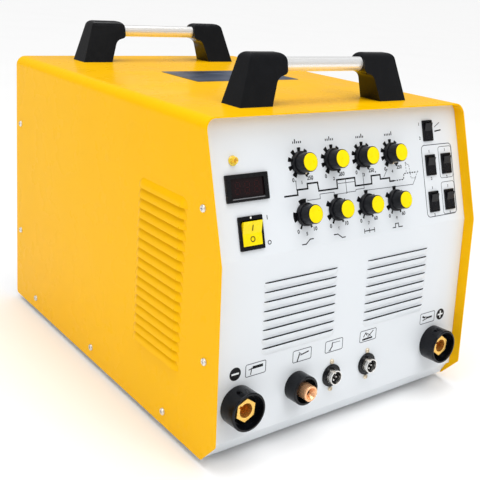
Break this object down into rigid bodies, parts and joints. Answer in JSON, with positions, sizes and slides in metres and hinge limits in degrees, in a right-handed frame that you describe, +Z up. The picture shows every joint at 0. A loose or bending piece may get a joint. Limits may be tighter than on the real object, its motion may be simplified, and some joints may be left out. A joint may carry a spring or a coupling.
{
  "type": "tig welding machine",
  "caption": "Portable welding power source: folded yellow steel case, leaning control panel with knobs, rockers and sockets, two carry handles and a rear fan.",
  "frame": {"origin": "on the floor, under the middle of the whole machine's box", "axes": "+Z up, the front panel faces -Y, +X is to the right of someone who looks at the front"},
  "size_m": [0.444, 0.6183, 0.4704],
  "materials": {
    "case_yellow": "gloss powder coat",
    "panel_white": "satin paint",
    "tray_white": "satin paint",
    "foot_rubber": "matt",
    "screw_chrome": "bright",
    "handle_black": "gloss",
    "grip_aluminium": "satin",
    "plate_dark": "brushed, dark",
    "pot_metal": "plain",
    "knob_black": "satin",
    "cap_yellow": "gloss",
    "bezel_black": "satin",
    "window_dark": "tinted",
    "lamp_amber": "translucent",
    "rocker_yellow": "gloss",
    "switch_black": "gloss",
    "socket_black": "satin",
    "contact_brass": "machined",
    "contact_copper": "machined",
    "shell_chrome": "bright",
    "insert_black": "matt",
    "fan_black": "matt",
    "guard_steel": "bright zinc",
    "gland_black": "matt",
    "fitting_brass": "machined",
    "valve_dark": "matt",
    "sink_aluminium": "extruded",
    "board_green": "solder mask",
    "capacitor_sleeve": "sleeve",
    "core_steel": "laminated",
    "winding_copper": "varnished",
    "potting_black": "matt"
  },
  "bodies": {
    "case": {"arc_starter": "potting_black", "capacitors": "capacitor_sleeve", "case_screws": "screw_chrome", "control_socket_flanges": "socket_black", "control_socket_inserts": "insert_black", "control_socket_screws": "fitting_brass", "control_socket_shells": "shell_chrome", "cord_gland": "gland_black", "cover": "case_yellow", "fan_frame": "fan_black", "fan_guard": "guard_steel", "fan_screws": "screw_chrome", "floor_tray": "tray_white", "front_panel": "panel_white", "gas_nipple": "fitting_brass", "gas_valve": "valve_dark", "handle_bolts": "screw_chrome", "handle_brackets_left": "handle_black", "handle_brackets_right": "handle_black", "handle_grips": "grip_aluminium", "heat_sinks": "sink_aluminium", "meter_bezel": "bezel_black", "meter_window": "window_dark", "pilot_lamp": "lamp_amber", "potentiometers": "pot_metal", "power_board": "board_green", "power_switch_frame": "switch_black", "rear_panel": "panel_white", "rubber_feet": "foot_rubber", "selector_frames": "switch_black", "top_plate": "plate_dark", "torch_socket_contact": "contact_copper", "torch_socket_shell": "socket_black", "transformer_core": "core_steel", "transformer_winding": "winding_copper", "weld_socket_contacts": "contact_brass", "weld_socket_shells": "socket_black"},
    "knob_1": {"knob_1": "knob_black", "knob_cap_1": "cap_yellow"},
    "knob_2": {"knob_2": "knob_black", "knob_cap_2": "cap_yellow"},
    "knob_3": {"knob_3": "knob_black", "knob_cap_3": "cap_yellow"},
    "knob_4": {"knob_4": "knob_black", "knob_cap_4": "cap_yellow"},
    "knob_5": {"knob_5": "knob_black", "knob_cap_5": "cap_yellow"},
    "knob_6": {"knob_6": "knob_black", "knob_cap_6": "cap_yellow"},
    "knob_7": {"knob_7": "knob_black", "knob_cap_7": "cap_yellow"},
    "knob_8": {"knob_8": "knob_black", "knob_cap_8": "cap_yellow"},
    "power_rocker": {"power_rocker": "rocker_yellow"},
    "selector_rocker_1": {"selector_rocker_1": "switch_black"},
    "selector_rocker_2": {"selector_rocker_2": "switch_black"},
    "selector_rocker_3": {"selector_rocker_3": "switch_black"},
    "selector_rocker_4": {"selector_rocker_4": "switch_black"},
    "selector_rocker_5": {"selector_rocker_5": "switch_black"},
    "fan_rotor": {"fan_rotor": "fan_black"}
  },
  "joints": [
    {"name": "knob_1_turn", "type": "hinge", "parent": "case", "child": "knob_1", "pos_m": [-0.0786, -0.24908, 0.35018], "axis": [0, -0.9552, 0.2958], "range_deg": [0, 300]},
    {"name": "knob_2_turn", "type": "hinge", "parent": "case", "child": "knob_2", "pos_m": [-0.0262, -0.24908, 0.35018], "axis": [0, -0.9552, 0.2958], "range_deg": [-60, 240]},
    {"name": "knob_3_turn", "type": "hinge", "parent": "case", "child": "knob_3", "pos_m": [0.0262, -0.24908, 0.35018], "axis": [0, -0.9552, 0.2958], "range_deg": [-60, 240]},
    {"name": "knob_4_turn", "type": "hinge", "parent": "case", "child": "knob_4", "pos_m": [0.0786, -0.24908, 0.35018], "axis": [0, -0.9552, 0.2958], "range_deg": [-300, 0]},
    {"name": "knob_5_turn", "type": "hinge", "parent": "case", "child": "knob_5", "pos_m": [-0.0786, -0.26724, 0.29152], "axis": [0, -0.9552, 0.2958], "range_deg": [-60, 240]},
    {"name": "knob_6_turn", "type": "hinge", "parent": "case", "child": "knob_6", "pos_m": [-0.0262, -0.26724, 0.29152], "axis": [0, -0.9552, 0.2958], "range_deg": [-60, 240]},
    {"name": "knob_7_turn", "type": "hinge", "parent": "case", "child": "knob_7", "pos_m": [0.0262, -0.26724, 0.29152], "axis": [0, -0.9552, 0.2958], "range_deg": [-60, 240]},
    {"name": "knob_8_turn", "type": "hinge", "parent": "case", "child": "knob_8", "pos_m": [0.0786, -0.26724, 0.29152], "axis": [0, -0.9552, 0.2958], "range_deg": [-60, 240]},
    {"name": "power_rocker_tilt", "type": "hinge", "parent": "case", "child": "power_rocker", "pos_m": [-0.162, -0.26186, 0.27813], "axis": [1, 0, 0], "range_deg": [-18, 0]},
    {"name": "selector_rocker_1_tilt", "type": "hinge", "parent": "case", "child": "selector_rocker_1", "pos_m": [0.1545, -0.23281, 0.37194], "axis": [1, 0, 0], "range_deg": [-16, 0]},
    {"name": "selector_rocker_2_tilt", "type": "hinge", "parent": "case", "child": "selector_rocker_2", "pos_m": [0.1545, -0.24671, 0.32704], "axis": [1, 0, 0], "range_deg": [-16, 0]},
    {"name": "selector_rocker_3_tilt", "type": "hinge", "parent": "case", "child": "selector_rocker_3", "pos_m": [0.187, -0.24671, 0.32704], "axis": [1, 0, 0], "range_deg": [-16, 0]},
    {"name": "selector_rocker_4_tilt", "type": "hinge", "parent": "case", "child": "selector_rocker_4", "pos_m": [0.1545, -0.26151, 0.27928], "axis": [1, 0, 0], "range_deg": [-16, 0]},
    {"name": "selector_rocker_5_tilt", "type": "hinge", "parent": "case", "child": "selector_rocker_5", "pos_m": [0.187, -0.26151, 0.27928], "axis": [1, 0, 0], "range_deg": [-16, 0]},
    {"name": "fan_rotor_spin", "type": "hinge", "parent": "case", "child": "fan_rotor", "pos_m": [0, 0.26068, 0.223], "axis": [0, 1, 0], "continuous": true}
  ]
}
